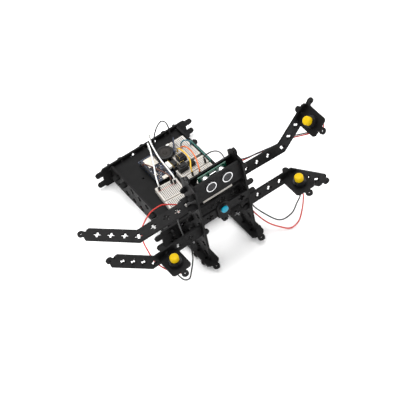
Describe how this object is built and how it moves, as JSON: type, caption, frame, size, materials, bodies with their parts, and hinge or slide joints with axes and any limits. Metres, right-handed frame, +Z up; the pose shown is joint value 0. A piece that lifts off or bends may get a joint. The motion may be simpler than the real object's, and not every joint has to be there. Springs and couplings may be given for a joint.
{
  "type": "spider robot kit",
  "caption": "Slotted black plate robot with a deck tray full of electronics, a tall head with an ultrasonic sensor, bent arms carrying push buttons, and loose wires.",
  "frame": {"origin": "centre of the outline without the loose wires, on the floor", "axes": "+X from the robot's left as seen from its front to its right, +Y from the head to the rear of the tray, +Z up"},
  "size_m": [0.3603, 0.2752, 0.165],
  "materials": {
    "blue_board": "solder mask gloss",
    "blue_cap": "gloss, slightly frosted",
    "breadboard_white": "moulded matte",
    "button_black": "semi gloss",
    "can_silver": "satin",
    "case_black": "moulded matte",
    "deck_black": "matte, fine sheet texture",
    "green_board": "solder mask gloss",
    "header_black": "moulded matte",
    "nickel": "nickel plated",
    "plate_black": "matte, fine sheet texture",
    "speaker_black": "matte",
    "teal_board": "solder mask gloss",
    "tinned_metal": "satin",
    "wire_black": "PVC insulation",
    "wire_brown": "PVC insulation",
    "wire_grey": "PVC insulation",
    "wire_orange": "PVC insulation",
    "wire_red": "PVC insulation",
    "wire_teal": "PVC insulation",
    "wire_white": "PVC insulation",
    "wire_yellow": "PVC insulation",
    "yellow_cap": "satin gloss"
  },
  "bodies": {
    "frame": {"rear_wall": "plate_black", "front_wall": "plate_black", "left_wall": "plate_black", "right_wall": "plate_black", "deck": "deck_black", "left_upright": "plate_black", "right_upright": "plate_black", "left_front_leg": "plate_black", "right_front_leg": "plate_black", "leg_lock_plates": "plate_black", "upper_left_arm": "plate_black", "upper_right_arm": "plate_black", "lower_left_arm": "plate_black", "lower_right_arm": "plate_black", "face_plate": "plate_black", "head_back_plate": "plate_black", "head_shelf": "plate_black", "chest_plate": "plate_black", "front_bar": "plate_black", "blue_button_bracket": "plate_black", "lower_left_bracket": "plate_black", "lower_right_bracket": "plate_black", "upper_right_bracket": "plate_black", "yellow_button_housings": "button_black", "button_hardware": "nickel", "blue_button_housing": "button_black", "sensor_board": "green_board", "sensor_cans": "can_silver", "sensor_header": "header_black", "head_breadboard": "breadboard_white", "controller_board": "blue_board", "controller_metal_parts": "tinned_metal", "controller_headers": "header_black", "left_breadboard": "breadboard_white", "rear_breadboard": "breadboard_white", "front_breadboard": "breadboard_white", "speaker": "speaker_black", "side_board": "teal_board", "driver_module": "header_black", "blue_module": "blue_board", "battery_case": "case_black", "jumper_plugs": "header_black", "lower_right_red_wire": "wire_red", "lower_right_black_wire": "wire_black", "upper_right_red_wire": "wire_red", "upper_right_grey_wire": "wire_grey", "lower_left_red_wire": "wire_red", "lower_left_black_wire": "wire_black", "white_jumper_long": "wire_white", "white_jumper_short": "wire_white", "grey_jumper": "wire_grey", "yellow_jumper": "wire_yellow", "orange_jumper": "wire_orange", "brown_jumper": "wire_brown", "teal_jumper": "wire_teal"},
    "lower_left_cap": {"lower_left_cap": "yellow_cap"},
    "lower_right_cap": {"lower_right_cap": "yellow_cap"},
    "upper_right_cap": {"upper_right_cap": "yellow_cap"},
    "blue_cap": {"blue_cap": "blue_cap"},
    "reset_button": {"reset_button": "header_black"}
  },
  "joints": [
    {"name": "lower_left_cap_slide", "type": "slide", "parent": "frame", "child": "lower_left_cap", "axis": [-0.061, 0, 0.9981], "range_m": [-0.0025, 0], "stiffness_N_per_m": 600, "springref_m": 0.0012},
    {"name": "lower_right_cap_slide", "type": "slide", "parent": "frame", "child": "lower_right_cap", "axis": [0, 0, 1], "range_m": [-0.0025, 0], "stiffness_N_per_m": 600, "springref_m": 0.0012},
    {"name": "upper_right_cap_slide", "type": "slide", "parent": "frame", "child": "upper_right_cap", "axis": [-0.6807, 0, 0.7325], "range_m": [-0.0025, 0], "stiffness_N_per_m": 600, "springref_m": 0.0012},
    {"name": "blue_cap_slide", "type": "slide", "parent": "frame", "child": "blue_cap", "axis": [0, -1, 0], "range_m": [-0.0012, 0], "stiffness_N_per_m": 800, "springref_m": 0.0008},
    {"name": "reset_button_slide", "type": "slide", "parent": "frame", "child": "reset_button", "axis": [0, 0, 1], "range_m": [-0.0003, 0], "stiffness_N_per_m": 1500, "springref_m": 0.0003}
  ]
}
